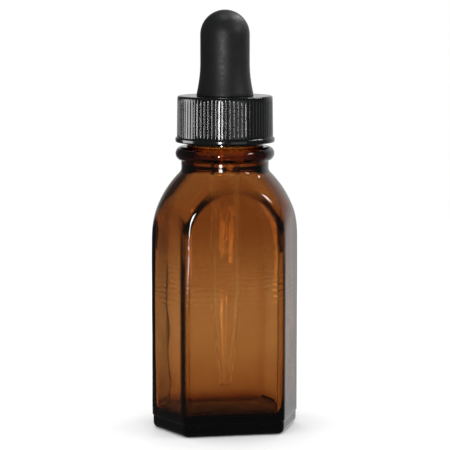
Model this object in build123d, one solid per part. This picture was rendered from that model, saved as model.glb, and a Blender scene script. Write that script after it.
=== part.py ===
from build123d import *
import os
from math import atan2, cos, hypot, sin, sqrt

# Amber glass dropper bottle, 30 ml: a six-sided bottle with a domed shoulder, a ribbed screw cap, a rubber
# bulb held under the cap and a drawn glass pipette. Millimetres, +Z up, origin at the centre of the base.

# ---- glass bottle: six-sided body ----
SIDE_CORNER_X = 17.4        # axis to the sharp left and right corners
PANEL_HALF_WIDTH = 11.3     # half the width of the front and back panels
PANEL_Y = 12.9              # axis to the front and back panels
CORNER_ROUND = 1.8          # rounding of the six upright edges
GLASS_WALL = 1.8
BASE_THICKNESS = 3.8        # height of the inside floor
INNER_CORNER_ROUND = 1.5
INNER_FLOOR_ROUND = 1.2
HEEL_HEIGHT = 3.3           # the base is moulded by a separate plate, which leaves a small step
HEEL_STEP = 0.2
HEEL_ROUND = 1.4
PUSH_UP_RADIUS = 9.0        # shallow dome under the base, so that the bottle stands on a ring
PUSH_UP_DEPTH = 0.9

# ---- glass bottle: domed shoulder and neck ----
SHOULDER_Z = 43.5           # the dome starts here
SHOULDER_RADIUS = 23.0      # arc of the dome's profile
SHOULDER_CLEARANCE = 0.1    # the dome is this much wider than the rounded side corners
NECK_THICKENING = 1.3       # how far the neck below the bead stands out past the finish
NECK_HEIGHT = 2.33          # from the dome to the bead
NECK_BLEND = 1.6            # concave rounding where the dome runs into the neck
BEAD_HEIGHT = 3.3           # transfer bead, the ring below the cap
BEAD_BULGE = 1.35           # how far the bead stands out past the neck
FINISH_RADIUS = 8.8         # the plain wall of the threaded finish
FINISH_WALL = 2.8
LIP_OUTER_CHAMFER = 0.6
LIP_INNER_CHAMFER = 0.5

# ---- screw thread, shared by the bottle and the cap ----
THREAD_LEAD = 3.175         # eight threads to the inch
GLASS_THREAD_TURNS = 1.15
GLASS_THREAD_RISE = 0.9     # how far the thread stands out of the finish
GLASS_THREAD_FOOT = 2.0
GLASS_THREAD_CREST = 0.8
PLAIN_BELOW_THREAD = 1.9    # bare finish between the bead and the thread's foot
PLAIN_ABOVE_THREAD = 1.4    # bare finish between the thread's foot and the lip
CAP_THREAD_START = 1.3      # where the thread's centre line starts above the cap's mouth
CAP_THREAD_TURNS = 1.3
CAP_THREAD_FOOT = 1.3
CAP_THREAD_CREST = 0.5
THREAD_BURIED = 0.3         # how far a thread's foot is sunk into its wall
THREAD_RADIAL_GAP = 0.2     # crest of either thread to the wall that it faces

# ---- screw cap ----
CAP_GAP = 0.95              # cap's mouth to the top of the bead
CAP_TOP_THICKNESS = 1.3
CAP_WALL = 1.15             # over the ribs
CAP_TOP_ROUND = 0.45
CAP_TOP_BAND = 0.75         # smooth band above the ribs
CAP_MOUTH_CHAMFER = 0.3
CAP_HOLE_CLEARANCE = 0.08
FLANGE_OVERHANG = 0.45
FLANGE_HEIGHT = 1.15
FLANGE_ROUND = 0.35
RIB_COUNT = 72
RIB_GROOVE_RADIUS = 0.27

# ---- rubber bulb ----
BULB_WALL = 1.4
BULB_TOP_ABOVE_CAP = 19.7
BULB_NECK_WALL = 2.62       # round the pipette, in the cap's hole
BULB_COLLAR_OVERHANG = 0.45 # how far the bulb spreads over the rim of the cap's hole
BULB_COLLAR_HEIGHT = 7.0    # height over which the bulb narrows above the cap
BULB_COLLAR_BULGE = 0.33    # how far the flare is still out at half its height
BULB_LIP_HEIGHT = 0.4       # upright edge at the foot of the flare
BULB_FLANGE_GAP = 0.5       # between the flange's edge and the cap's wall
BULB_FLANGE_THICKNESS = 1.4 # clamped between the cap and the lip, as the seal
BULB_GRIP_LENGTH = 7.8      # length of pipette that the bulb grips
BULB_RIM_GAP = 0.25         # between the pipette's rim and the bulb's inside

# ---- glass pipette ----
PIPETTE_RADIUS = 3.5
PIPETTE_WALL = 1.0
PIPETTE_RIM_BULGE = 0.55    # fire-polished rim that stops it from pulling out of the bulb
PIPETTE_RIM_HEIGHT = 1.2
PIPETTE_FLOOR_GAP = 5.7     # from the tip to the inside floor
PIPETTE_TAPER_LENGTH = 20.5
PIPETTE_TIP_RADIUS = 1.3
PIPETTE_TIP_BORE = 0.55


def rounded_corner_x(corner_round):
    """Distance from the axis to the rounded left or right edge of the body."""
    half_angle = atan2(PANEL_Y, SIDE_CORNER_X - PANEL_HALF_WIDTH)
    return SIDE_CORNER_X - corner_round * (1 / sin(half_angle) - 1)


def dome_height(profile_radius, dome_radius, at_radius):
    """Height above the shoulder's start at which a dome profile has narrowed to at_radius."""
    centre_r = dome_radius - profile_radius
    return sqrt(profile_radius**2 - (at_radius - centre_r) ** 2)


# ---- radii and heights that follow from the sizes above ----
DOME_RADIUS = rounded_corner_x(CORNER_ROUND) + SHOULDER_CLEARANCE
NECK_RADIUS = FINISH_RADIUS + NECK_THICKENING
BEAD_RADIUS = NECK_RADIUS + BEAD_BULGE
BORE_RADIUS = FINISH_RADIUS - FINISH_WALL
GLASS_THREAD_RADIUS = FINISH_RADIUS + GLASS_THREAD_RISE
CAP_INNER_RADIUS = GLASS_THREAD_RADIUS + THREAD_RADIAL_GAP
CAP_THREAD_INNER_RADIUS = FINISH_RADIUS + THREAD_RADIAL_GAP
CAP_RADIUS = CAP_INNER_RADIUS + CAP_WALL
BULB_NECK_RADIUS = PIPETTE_RADIUS + BULB_NECK_WALL
BULB_INNER_RADIUS = PIPETTE_RADIUS + PIPETTE_RIM_BULGE + BULB_RIM_GAP
BULB_RADIUS = BULB_INNER_RADIUS + BULB_WALL
NECK_Z = SHOULDER_Z + dome_height(SHOULDER_RADIUS, DOME_RADIUS, NECK_RADIUS)
BEAD_BOTTOM_Z = NECK_Z + NECK_HEIGHT
BEAD_TOP_Z = BEAD_BOTTOM_Z + BEAD_HEIGHT
GLASS_THREAD_Z = BEAD_TOP_Z + PLAIN_BELOW_THREAD + GLASS_THREAD_FOOT / 2
LIP_Z = GLASS_THREAD_Z + THREAD_LEAD * GLASS_THREAD_TURNS + GLASS_THREAD_FOOT / 2 + PLAIN_ABOVE_THREAD
CAP_MOUTH_Z = BEAD_TOP_Z + CAP_GAP
CAP_CEILING_Z = LIP_Z + BULB_FLANGE_THICKNESS
CAP_TOP_Z = CAP_CEILING_Z + CAP_TOP_THICKNESS
BULB_TOP_Z = CAP_TOP_Z + BULB_TOP_ABOVE_CAP
PIPETTE_RIM_Z = LIP_Z + BULB_GRIP_LENGTH
PIPETTE_TIP_Z = BASE_THICKNESS + PIPETTE_FLOOR_GAP


def body_outline(inset, corner_round):
    """The six-sided plan of the body, moved inwards by inset, with rounded corners."""
    slope_x = PANEL_Y
    slope_y = SIDE_CORNER_X - PANEL_HALF_WIDTH
    side_length = hypot(slope_x, slope_y)
    side_x = SIDE_CORNER_X - inset * side_length / slope_x
    panel_y = PANEL_Y - inset
    panel_x = side_x - panel_y * slope_y / slope_x
    corners = [
        (side_x, 0),
        (panel_x, panel_y),
        (-panel_x, panel_y),
        (-side_x, 0),
        (-panel_x, -panel_y),
        (panel_x, -panel_y),
    ]
    plan = make_face(Polyline(*corners, close=True))
    return fillet(plan.vertices(), corner_round)


def dome_arc(profile_radius, dome_radius, at_radius):
    """The dome's profile, an arc that leaves the body upright and ends at at_radius."""
    height = dome_height(profile_radius, dome_radius, at_radius)
    centre_r = dome_radius - profile_radius
    half_turn = atan2(height, at_radius - centre_r) / 2
    middle = (centre_r + profile_radius * cos(half_turn), SHOULDER_Z + profile_radius * sin(half_turn))
    return ThreePointArc((dome_radius, SHOULDER_Z), middle, (at_radius, SHOULDER_Z + height))


def spin(lines):
    """A solid of revolution from closed lines drawn with x as the radius and y as the height."""
    profile = Plane.XZ * make_face(Curve() + lines)
    return revolve(profile, Axis.Z)


def helical_ridge(wall_radius, crest_radius, start_z, turns, foot, crest):
    """A right-hand screw thread: a flat-topped ridge swept along a helix, its foot sunk in the wall."""
    outward = 1 if crest_radius > wall_radius else -1
    foot_radius = wall_radius - outward * THREAD_BURIED
    path = Pos(0, 0, start_z) * Helix(THREAD_LEAD, THREAD_LEAD * turns, wall_radius)
    section = Plane(origin=path @ 0, x_dir=(1, 0, 0), z_dir=path % 0)
    corners = [
        (foot_radius - wall_radius, -foot / 2),
        (crest_radius - wall_radius, -crest / 2),
        (crest_radius - wall_radius, crest / 2),
        (foot_radius - wall_radius, foot / 2),
    ]
    ridge = section * make_face(Polyline(*corners, close=True))
    return sweep(ridge, path=path, is_frenet=True)


def glass_thread():
    """The bottle's outside thread, a little over one turn."""
    return helical_ridge(
        FINISH_RADIUS,
        GLASS_THREAD_RADIUS,
        GLASS_THREAD_Z,
        GLASS_THREAD_TURNS,
        GLASS_THREAD_FOOT,
        GLASS_THREAD_CREST,
    )


def cap_thread():
    """The cap's inside thread, turned so that it runs midway between the turns of the glass thread."""
    start_z = CAP_MOUTH_Z + CAP_THREAD_START
    lead_in = 360 * (start_z - GLASS_THREAD_Z + THREAD_LEAD / 2) / THREAD_LEAD
    ridge = helical_ridge(
        CAP_INNER_RADIUS,
        CAP_THREAD_INNER_RADIUS,
        start_z,
        CAP_THREAD_TURNS,
        CAP_THREAD_FOOT,
        CAP_THREAD_CREST,
    )
    return Rot(0, 0, lead_in) * ridge


def bottle_outside():
    """The body below the dome, the dome, the neck, the bead and the plain finish, as one block."""
    envelope_radius = SIDE_CORNER_X + 1
    bead_middle = (BEAD_RADIUS, BEAD_BOTTOM_Z + BEAD_HEIGHT / 2)
    lip_edge_z = LIP_Z - LIP_OUTER_CHAMFER
    lip_edge_radius = FINISH_RADIUS - LIP_OUTER_CHAMFER
    turned = spin([
        Line((0, 0), (envelope_radius, 0)),
        Line((envelope_radius, 0), (envelope_radius, SHOULDER_Z)),
        Line((envelope_radius, SHOULDER_Z), (DOME_RADIUS, SHOULDER_Z)),
        dome_arc(SHOULDER_RADIUS, DOME_RADIUS, NECK_RADIUS),
        Line((NECK_RADIUS, NECK_Z), (NECK_RADIUS, BEAD_BOTTOM_Z)),
        ThreePointArc((NECK_RADIUS, BEAD_BOTTOM_Z), bead_middle, (NECK_RADIUS, BEAD_TOP_Z)),
        Line((NECK_RADIUS, BEAD_TOP_Z), (FINISH_RADIUS, BEAD_TOP_Z)),
        Line((FINISH_RADIUS, BEAD_TOP_Z), (FINISH_RADIUS, lip_edge_z)),
        Line((FINISH_RADIUS, lip_edge_z), (lip_edge_radius, LIP_Z)),
        Line((lip_edge_radius, LIP_Z), (0, LIP_Z)),
        Line((0, LIP_Z), (0, 0)),
    ])
    rings = turned.edges().filter_by(GeomType.CIRCLE)
    neck_root = rings.sort_by(lambda ring: abs(ring.center().Z - NECK_Z))[0]
    turned = fillet(neck_root, NECK_BLEND)
    heel = extrude(body_outline(HEEL_STEP, CORNER_ROUND), HEEL_HEIGHT)
    heel = fillet(heel.faces().sort_by(Axis.Z)[0].edges(), HEEL_ROUND)
    prism = Pos(0, 0, HEEL_HEIGHT) * extrude(body_outline(0, CORNER_ROUND), LIP_Z - HEEL_HEIGHT)
    return turned & (heel + prism)


def bottle_hollow():
    """The inside of the bottle: the body and dome set in by the wall, and the bore of the neck."""
    dome_radius = DOME_RADIUS - GLASS_WALL
    profile_radius = SHOULDER_RADIUS - GLASS_WALL
    bore_z = SHOULDER_Z + dome_height(profile_radius, dome_radius, BORE_RADIUS)
    lip_edge_z = LIP_Z - LIP_INNER_CHAMFER
    turned = spin([
        Line((0, BASE_THICKNESS), (SIDE_CORNER_X, BASE_THICKNESS)),
        Line((SIDE_CORNER_X, BASE_THICKNESS), (SIDE_CORNER_X, SHOULDER_Z)),
        Line((SIDE_CORNER_X, SHOULDER_Z), (dome_radius, SHOULDER_Z)),
        dome_arc(profile_radius, dome_radius, BORE_RADIUS),
        Line((BORE_RADIUS, bore_z), (BORE_RADIUS, lip_edge_z)),
        Line((BORE_RADIUS, lip_edge_z), (BORE_RADIUS + LIP_INNER_CHAMFER, LIP_Z)),
        Line((BORE_RADIUS + LIP_INNER_CHAMFER, LIP_Z), (0, LIP_Z)),
        Line((0, LIP_Z), (0, BASE_THICKNESS)),
    ])
    room = extrude(body_outline(GLASS_WALL, INNER_CORNER_ROUND), LIP_Z - BASE_THICKNESS)
    room = fillet(room.faces().sort_by(Axis.Z)[0].edges(), INNER_FLOOR_ROUND)
    return turned & (Pos(0, 0, BASE_THICKNESS) * room)


def glass_bottle():
    """Six-sided amber bottle with a domed shoulder, transfer bead and screw finish."""
    push_up_sphere = (PUSH_UP_RADIUS**2 + PUSH_UP_DEPTH**2) / (2 * PUSH_UP_DEPTH)
    push_up = Pos(0, 0, PUSH_UP_DEPTH - push_up_sphere) * Sphere(push_up_sphere)
    return bottle_outside() - bottle_hollow() - push_up + glass_thread()


def cap_skirt():
    """The ribbed wall of the cap, from the flange to the smooth band, as a solid block."""
    plan = Circle(CAP_RADIUS) - PolarLocations(CAP_RADIUS, RIB_COUNT) * Circle(RIB_GROOVE_RADIUS)
    bottom_z = CAP_MOUTH_Z + FLANGE_HEIGHT
    return Pos(0, 0, bottom_z) * extrude(plan, CAP_TOP_Z - CAP_TOP_BAND - bottom_z)


def cap_room():
    """What is taken out of the cap: the threaded room, its mouth's chamfer and the bulb's hole."""
    room = Circle(CAP_INNER_RADIUS)
    mouth_radius = CAP_INNER_RADIUS + CAP_MOUTH_CHAMFER
    hole = Circle(BULB_NECK_RADIUS + CAP_HOLE_CLEARANCE)
    mouth = Pos(0, 0, CAP_MOUTH_Z) * Cone(
        mouth_radius, CAP_INNER_RADIUS, CAP_MOUTH_CHAMFER, align=(Align.CENTER, Align.CENTER, Align.MIN)
    )
    return [
        Pos(0, 0, CAP_MOUTH_Z) * extrude(room, CAP_CEILING_Z - CAP_MOUTH_Z),
        Pos(0, 0, CAP_CEILING_Z) * extrude(hole, CAP_TOP_THICKNESS),
        mouth,
    ]


def screw_cap():
    """Ribbed cap with a bottom flange, a hole for the bulb and an inside thread."""
    band = Pos(0, 0, CAP_TOP_Z - CAP_TOP_BAND) * extrude(Circle(CAP_RADIUS), CAP_TOP_BAND)
    band = fillet(band.edges().sort_by(Axis.Z)[-1], CAP_TOP_ROUND)
    flange = Pos(0, 0, CAP_MOUTH_Z) * extrude(Circle(CAP_RADIUS + FLANGE_OVERHANG), FLANGE_HEIGHT)
    flange = fillet(flange.edges().filter_by(GeomType.CIRCLE), FLANGE_ROUND)
    return cap_skirt() + band + flange - cap_room() + cap_thread()


def rubber_bulb():
    """Hollow round-ended bulb, with a flared collar over the cap and a sealing flange under it."""
    flange_radius = CAP_INNER_RADIUS - BULB_FLANGE_GAP
    collar_radius = BULB_NECK_RADIUS + BULB_COLLAR_OVERHANG
    collar_z = CAP_TOP_Z + BULB_LIP_HEIGHT
    straight_z = collar_z + BULB_COLLAR_HEIGHT
    round_z = BULB_TOP_Z - BULB_RADIUS
    flare_middle = (BULB_RADIUS + BULB_COLLAR_BULGE, collar_z + BULB_COLLAR_HEIGHT / 2)
    diagonal = sqrt(1 / 2)
    dome_middle = (BULB_RADIUS * diagonal, round_z + BULB_RADIUS * diagonal)
    hollow_middle = (BULB_INNER_RADIUS * diagonal, round_z + BULB_INNER_RADIUS * diagonal)
    return spin([
        Line((PIPETTE_RADIUS, LIP_Z), (flange_radius, LIP_Z)),
        Line((flange_radius, LIP_Z), (flange_radius, CAP_CEILING_Z)),
        Line((flange_radius, CAP_CEILING_Z), (BULB_NECK_RADIUS, CAP_CEILING_Z)),
        Line((BULB_NECK_RADIUS, CAP_CEILING_Z), (BULB_NECK_RADIUS, CAP_TOP_Z)),
        Line((BULB_NECK_RADIUS, CAP_TOP_Z), (collar_radius, CAP_TOP_Z)),
        Line((collar_radius, CAP_TOP_Z), (collar_radius, collar_z)),
        ThreePointArc((collar_radius, collar_z), flare_middle, (BULB_RADIUS, straight_z)),
        Line((BULB_RADIUS, straight_z), (BULB_RADIUS, round_z)),
        ThreePointArc((BULB_RADIUS, round_z), dome_middle, (0, BULB_TOP_Z)),
        Line((0, BULB_TOP_Z), (0, BULB_TOP_Z - BULB_WALL)),
        ThreePointArc((0, BULB_TOP_Z - BULB_WALL), hollow_middle, (BULB_INNER_RADIUS, round_z)),
        Line((BULB_INNER_RADIUS, round_z), (BULB_INNER_RADIUS, PIPETTE_RIM_Z)),
        Line((BULB_INNER_RADIUS, PIPETTE_RIM_Z), (PIPETTE_RADIUS, PIPETTE_RIM_Z)),
        Line((PIPETTE_RADIUS, PIPETTE_RIM_Z), (PIPETTE_RADIUS, LIP_Z)),
    ])


def glass_pipette():
    """Drawn glass tube with a rim at the top and a long taper to a fine tip."""
    bore_radius = PIPETTE_RADIUS - PIPETTE_WALL
    rim_top_z = PIPETTE_RIM_Z + PIPETTE_RIM_HEIGHT
    rim_middle = (PIPETTE_RADIUS + PIPETTE_RIM_BULGE, PIPETTE_RIM_Z + PIPETTE_RIM_HEIGHT / 2)
    taper_z = PIPETTE_TIP_Z + PIPETTE_TAPER_LENGTH
    return spin([
        Line((PIPETTE_TIP_BORE, PIPETTE_TIP_Z), (PIPETTE_TIP_RADIUS, PIPETTE_TIP_Z)),
        Line((PIPETTE_TIP_RADIUS, PIPETTE_TIP_Z), (PIPETTE_RADIUS, taper_z)),
        Line((PIPETTE_RADIUS, taper_z), (PIPETTE_RADIUS, PIPETTE_RIM_Z)),
        ThreePointArc((PIPETTE_RADIUS, PIPETTE_RIM_Z), rim_middle, (PIPETTE_RADIUS, rim_top_z)),
        Line((PIPETTE_RADIUS, rim_top_z), (bore_radius, rim_top_z)),
        Line((bore_radius, rim_top_z), (bore_radius, taper_z)),
        Line((bore_radius, taper_z), (PIPETTE_TIP_BORE, PIPETTE_TIP_Z)),
    ])


os.makedirs("parts", exist_ok=True)
export_step(glass_bottle(), "parts/glass_bottle.step")
export_step(screw_cap(), "parts/screw_cap.step")
export_step(rubber_bulb(), "parts/rubber_bulb.step")
export_step(glass_pipette(), "parts/glass_pipette.step")
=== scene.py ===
# %% [markdown]
# # An amber dropper bottle
# The real object is four pieces: a six-sided amber glass bottle, a ribbed black screw cap, a black
# rubber bulb that the cap holds down on the bottle's mouth, and a clear glass pipette that is
# pushed up into the bulb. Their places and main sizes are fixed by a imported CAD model, so this
# lesson only makes each piece's finer surface and its finish, and hangs it on the body that it
# moves with.

import math

import bpy
import numpy as np
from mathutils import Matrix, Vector


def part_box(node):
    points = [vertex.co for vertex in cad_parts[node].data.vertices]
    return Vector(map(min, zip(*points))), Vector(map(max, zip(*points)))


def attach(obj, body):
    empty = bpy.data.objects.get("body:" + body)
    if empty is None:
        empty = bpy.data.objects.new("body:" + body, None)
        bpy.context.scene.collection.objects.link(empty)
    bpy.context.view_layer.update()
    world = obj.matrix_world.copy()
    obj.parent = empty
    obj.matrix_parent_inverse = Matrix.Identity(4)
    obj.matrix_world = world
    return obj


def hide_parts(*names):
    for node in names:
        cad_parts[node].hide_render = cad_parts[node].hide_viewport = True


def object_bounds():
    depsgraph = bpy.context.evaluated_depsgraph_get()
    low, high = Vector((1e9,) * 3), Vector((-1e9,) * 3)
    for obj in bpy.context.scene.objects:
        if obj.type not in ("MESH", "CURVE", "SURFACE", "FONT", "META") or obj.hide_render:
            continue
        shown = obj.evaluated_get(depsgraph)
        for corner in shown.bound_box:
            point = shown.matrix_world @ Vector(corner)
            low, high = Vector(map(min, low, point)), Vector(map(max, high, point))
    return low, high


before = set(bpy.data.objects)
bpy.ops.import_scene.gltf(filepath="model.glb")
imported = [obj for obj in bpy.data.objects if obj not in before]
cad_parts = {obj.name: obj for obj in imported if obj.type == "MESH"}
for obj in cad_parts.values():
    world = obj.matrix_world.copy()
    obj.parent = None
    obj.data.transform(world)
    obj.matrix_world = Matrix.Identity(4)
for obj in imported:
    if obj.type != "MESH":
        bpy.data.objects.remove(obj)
cad_low, cad_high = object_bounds()
MM = 0.001
print("CAD box, mm:", [round((h - l) / MM, 2) for l, h in zip(cad_low, cad_high)])

# %% [markdown]
# ## Sizes
# A piece's outer reach is read from its CAD node's box, in millimetres. What a box can't tell, such
# as how thick a wall is or how round an edge is, is a named size here.


# %% Outer sizes from the frame
def box_mm(node):
    """Lowest and highest corner of a CAD node at rest, in millimetres."""
    low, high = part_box(node)
    return np.array(low) / MM, np.array(high) / MM


bottle_high = box_mm("glass_bottle")[1]
cap_low, cap_high = box_mm("screw_cap")
bulb_high = box_mm("rubber_bulb")[1]
pipette_low, pipette_high = box_mm("glass_pipette")
PANEL_Y = bottle_high[1]
LIP_Z = bottle_high[2]
CAP_MOUTH_Z, CAP_TOP_Z = cap_low[2], cap_high[2]
BULB_TOP_Z = bulb_high[2]
TIP_Z, PIPETTE_TOP_Z = pipette_low[2], pipette_high[2]
print("lip", round(LIP_Z, 2), "cap top", round(CAP_TOP_Z, 2), "bulb top", round(BULB_TOP_Z, 2))

# %% [markdown]
# ## Surfaces as rings
# Every piece here is a stack of rings round the upright axis, so one helper turns an array of ring
# points into a mesh. A tube's last ring joins its first. A closed vessel starts and ends at a pole,
# where all of a ring is one vertex. The signed volume tells whether the faces look outwards, and it
# is a good check of a wall's thickness.


# %% From rings of points to a mesh
def signed_volume(points, index):
    """Volume inside quads: a sixth of the sum of the corner products a . (b x c) over their
    triangles."""
    a, b, c, d = (points[index[:, k]] for k in range(4))
    halves = np.cross(b, c) + np.cross(c, d)
    return np.einsum("ij,ij->", a, halves) / 6


def ring_mesh(name, points, loop, edge=None):
    """A mesh from an array of rings x columns x 3, in mm. Neighbours in both directions make a
    quad. Edge is a number for each point that a material can read."""
    rings, columns = points.shape[:2]
    index = np.arange(rings * columns).reshape(rings, columns)
    if loop:
        index = np.vstack([index, index[:1]])
    else:
        index[0] = index[0, 0]
        index[-1] = index[-1, 0]
    onward = np.roll(index, -1, axis=1)
    quads = np.stack([index[:-1], onward[:-1], onward[1:], index[1:]], axis=-1).reshape(-1, 4)
    flat = points.reshape(-1, 3)
    if signed_volume(flat, quads) < 0:
        quads = quads[:, ::-1]
    used, quads = np.unique(quads, return_inverse=True)
    quads = quads.reshape(-1, 4)
    keep = np.array([quads[:, k] != quads[:, (k + 1) % 4] for k in range(4)]).T
    whole = keep.all(axis=1)
    tips = quads[~whole][keep[~whole]].reshape(-1, 3)
    mesh = bpy.data.meshes.new(name)
    mesh.from_pydata((flat[used] * MM).tolist(), [], quads[whole].tolist() + tips.tolist())
    mesh.polygons.foreach_set("use_smooth", np.ones(len(mesh.polygons), dtype=bool))
    mesh.update()
    if edge is not None:
        mesh.attributes.new("edge", "FLOAT", "POINT").data.foreach_set("value", edge.reshape(-1)[used])
    obj = bpy.data.objects.new(name, mesh)
    bpy.context.collection.objects.link(obj)
    volume = signed_volume(flat[used], quads)
    print(name, len(mesh.polygons), "faces,", round(volume), "mm3")
    return obj


def around(radius, angle, height):
    """Points at a radius and an angle from the upright axis, for arrays of rings x columns."""
    return np.stack(np.broadcast_arrays(radius * np.cos(angle), radius * np.sin(angle), height), axis=-1)


# %% Blending helpers
def smooth_step(t):
    """Zero below 0, one above 1, and three t squared minus two t cubed in between."""
    t = np.clip(t, 0, 1)
    return t * t * (3 - 2 * t)


def soft_min(a, b, width):
    """The smaller of two lengths, with a quarter of the width taken off where they are equal. What
    is taken off falls with the square of their difference and is gone where they differ by the
    width."""
    near = np.clip(1 - np.abs(a - b) / width, 0, 1)
    return np.minimum(a, b) - near**2 * width / 4


def soft_max(a, b, width):
    """The larger of two lengths, rounded off in the same way."""
    return -soft_min(-a, -b, width)


def steps(start, end, count):
    """Even steps from start to just before end."""
    return np.linspace(start, end, count, endpoint=False)


# %% [markdown]
# ## The glass bottle's plan
# Seen from above, the body is a six-sided outline: a broad front and back, and two sloping panels
# that meet at an upright edge on each side. Glass is pressed against the mould outside and blown
# free inside, so the outer edges are tight and the inner ones are wide and soft, which makes the
# glass thick along every edge. There it looks almost black. A ray from the axis meets either a flat
# or a rounded corner, so the outline has an exact formula.

# %% Sizes of the plan
SIDE_CORNER_X = 17.4
PANEL_HALF_WIDTH = 11.5
SURFACE_ROOM = 0.04
CORNER_ROUND = 1.8
GLASS_WALL = 1.65
INNER_CORNER_ROUND = 1.9
SIDE_WALL_SHARE = 0.76
side_slope = SIDE_CORNER_X - PANEL_HALF_WIDTH
side_length = math.hypot(PANEL_Y, side_slope)
SIDE_NORMAL = (PANEL_Y / side_length, side_slope / side_length)
CORNER_ANGLE = math.atan2(PANEL_Y, PANEL_HALF_WIDTH)


def plan_radius(angle, inset, corner_round, side_share=1.0):
    """Distance from the axis to the six-sided outline, set in by inset. A flat is its distance from
    the axis over the cosine between the ray and its normal. A corner is the far crossing of the ray
    with the corner's circle. The sloping panels are set in by only side_share of the inset."""
    x, y = np.abs(np.cos(angle)), np.abs(np.sin(angle))
    nx, ny = SIDE_NORMAL
    side = SIDE_CORNER_X * nx - inset * side_share
    panel = PANEL_Y - inset
    tip_x = (side - corner_round) / nx
    edge_y = panel - corner_round
    edge_x = (side - corner_round - edge_y * ny) / nx

    def crossing(cx, cy):
        along = x * cx + y * cy
        return along + np.sqrt(np.maximum(corner_round**2 - cx**2 - cy**2 + along**2, 0))

    ray = np.arctan2(y, x)
    tip_ends = np.arctan2(corner_round * ny, tip_x + corner_round * nx)
    edge_starts = np.arctan2(edge_y + corner_round * ny, edge_x + corner_round * nx)
    edge_ends = np.arctan2(panel, edge_x)
    flats = side / (x * nx + y * ny)
    front = panel / np.maximum(y, 1e-9)
    inner = np.where(ray < edge_ends, crossing(edge_x, edge_y), front)
    return np.where(ray < tip_ends, crossing(tip_x, 0.0), np.where(ray < edge_starts, flats, inner))


reach = plan_radius(np.array([0.0]), SURFACE_ROOM, CORNER_ROUND)[0]
print("side edge", round(reach, 3), "mm, CAD", round(bottle_high[0], 3))


# %% Columns that crowd towards the six edges
def crowded_angles(count, crowd, spread):
    """Angles round the axis, closer together near the edges. Their density is one plus a bell curve
    at each edge, and its running total is read backwards at even steps."""
    edges = np.array([0, CORNER_ANGLE, np.pi - CORNER_ANGLE, np.pi, np.pi + CORNER_ANGLE, -CORNER_ANGLE])
    fine = np.linspace(0, 2 * np.pi, 7201)
    away = (fine[:, None] - edges + np.pi) % (2 * np.pi) - np.pi
    density = 1 + crowd * np.exp(-((away / spread) ** 2)).sum(axis=1)
    total = np.concatenate([[0], np.cumsum((density[1:] + density[:-1]) / 2)])
    return np.interp(steps(0, total[-1], count), total, fine)


COLUMNS, EDGE_CROWD, CROWD_SPREAD = 350, 2.2, math.radians(4.5)
angles = crowded_angles(COLUMNS, EDGE_CROWD, CROWD_SPREAD)[None, :]
print("columns", angles.size, "closest, degrees:", round(math.degrees(np.diff(angles[0]).min()), 2))

# %% [markdown]
# ## The glass bottle, outside and inside
# The outside is a prism cut by a dome: at each height the radius is the smaller of the outline and
# the dome's profile. That cut draws the tall arch on each panel. A hard minimum would give a knife
# edge, so a soft one is used, with a wide blend over the front arch and a narrow one at the side
# edges. The neck, the ring below the cap, the threaded finish and the lip are plain turned shapes
# above it. The path then goes over the lip and down the inside, so that the glass is one closed
# solid with a real wall, which is what refraction needs.

# %% Sizes of the bottle
HEEL_HEIGHT, HEEL_STEP, HEEL_ROUND = 3.3, 0.2, 1.4
LEDGE_BELOW, LEDGE_RUN = 0.3, 0.4
SWELL_HEIGHT, SWELL_OUT = 6, 0.6
PUSH_UP_RADIUS, PUSH_UP_DEPTH = 9.0, 0.9
FLOOR_Z, FLOOR_ROUND, FLOOR_RISE = 3.8, 2.5, 0.6
SHOULDER_Z, SHOULDER_RADIUS, DOME_RADIUS = 43.5, 23.0, 17.31
NECK_RADIUS, NECK_BLEND = 10.1, 1.6
BEAD_HEIGHT, BEAD_BULGE, BEAD_BOTTOM_Z = 3.3, 1.35, 62.55
FINISH_RADIUS, FINISH_ROOT, BORE_RADIUS, LIP_ROUND = 8.8, 0.4, 6.0, 0.55
ARCH_BLEND, EDGE_BLEND = 2.4, 0.35
FREE = 40.0
DOME_CENTRE = DOME_RADIUS - SHOULDER_RADIUS
BEAD_TOP_Z = BEAD_BOTTOM_Z + BEAD_HEIGHT


def ring_rows(height, limit, inset=SURFACE_ROOM, corner=CORNER_ROUND, share=1.0):
    """One row for each ring: its height, the turned radius that limits it, how far the outline is
    set in, how round the outline's corners are, and the share of the outline's size that it has."""
    return np.stack(np.broadcast_arrays(height, limit, inset, corner, share), axis=-1)


# %% Heel and body, outside
heel_turn = steps(0, np.pi / 2, 8)
heel_in = SURFACE_ROOM + HEEL_STEP
ledge_z = HEEL_HEIGHT - LEDGE_BELOW
ledge = steps(0, 1, 5)
swell = steps(1, 0, 6)
body_rows = [
    ring_rows(0.0, FREE, heel_in + HEEL_ROUND, CORNER_ROUND - HEEL_ROUND, steps(0, 1, 14)),
    ring_rows(
        HEEL_ROUND * (1 - np.cos(heel_turn)),
        FREE,
        heel_in + HEEL_ROUND * (1 - np.sin(heel_turn)),
        CORNER_ROUND - HEEL_ROUND * (1 - np.sin(heel_turn)),
    ),
    ring_rows(steps(HEEL_ROUND, ledge_z, 3), FREE, heel_in),
    ring_rows(ledge_z + LEDGE_RUN * ledge, FREE, heel_in - HEEL_STEP * smooth_step(ledge)),
    ring_rows(steps(ledge_z + LEDGE_RUN, SHOULDER_Z - SWELL_HEIGHT, 20), FREE),
    ring_rows(SHOULDER_Z - SWELL_HEIGHT * swell, DOME_RADIUS + SWELL_OUT * swell**2),
]
print("rings up to the shoulder:", sum(len(rows) for rows in body_rows))

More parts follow.
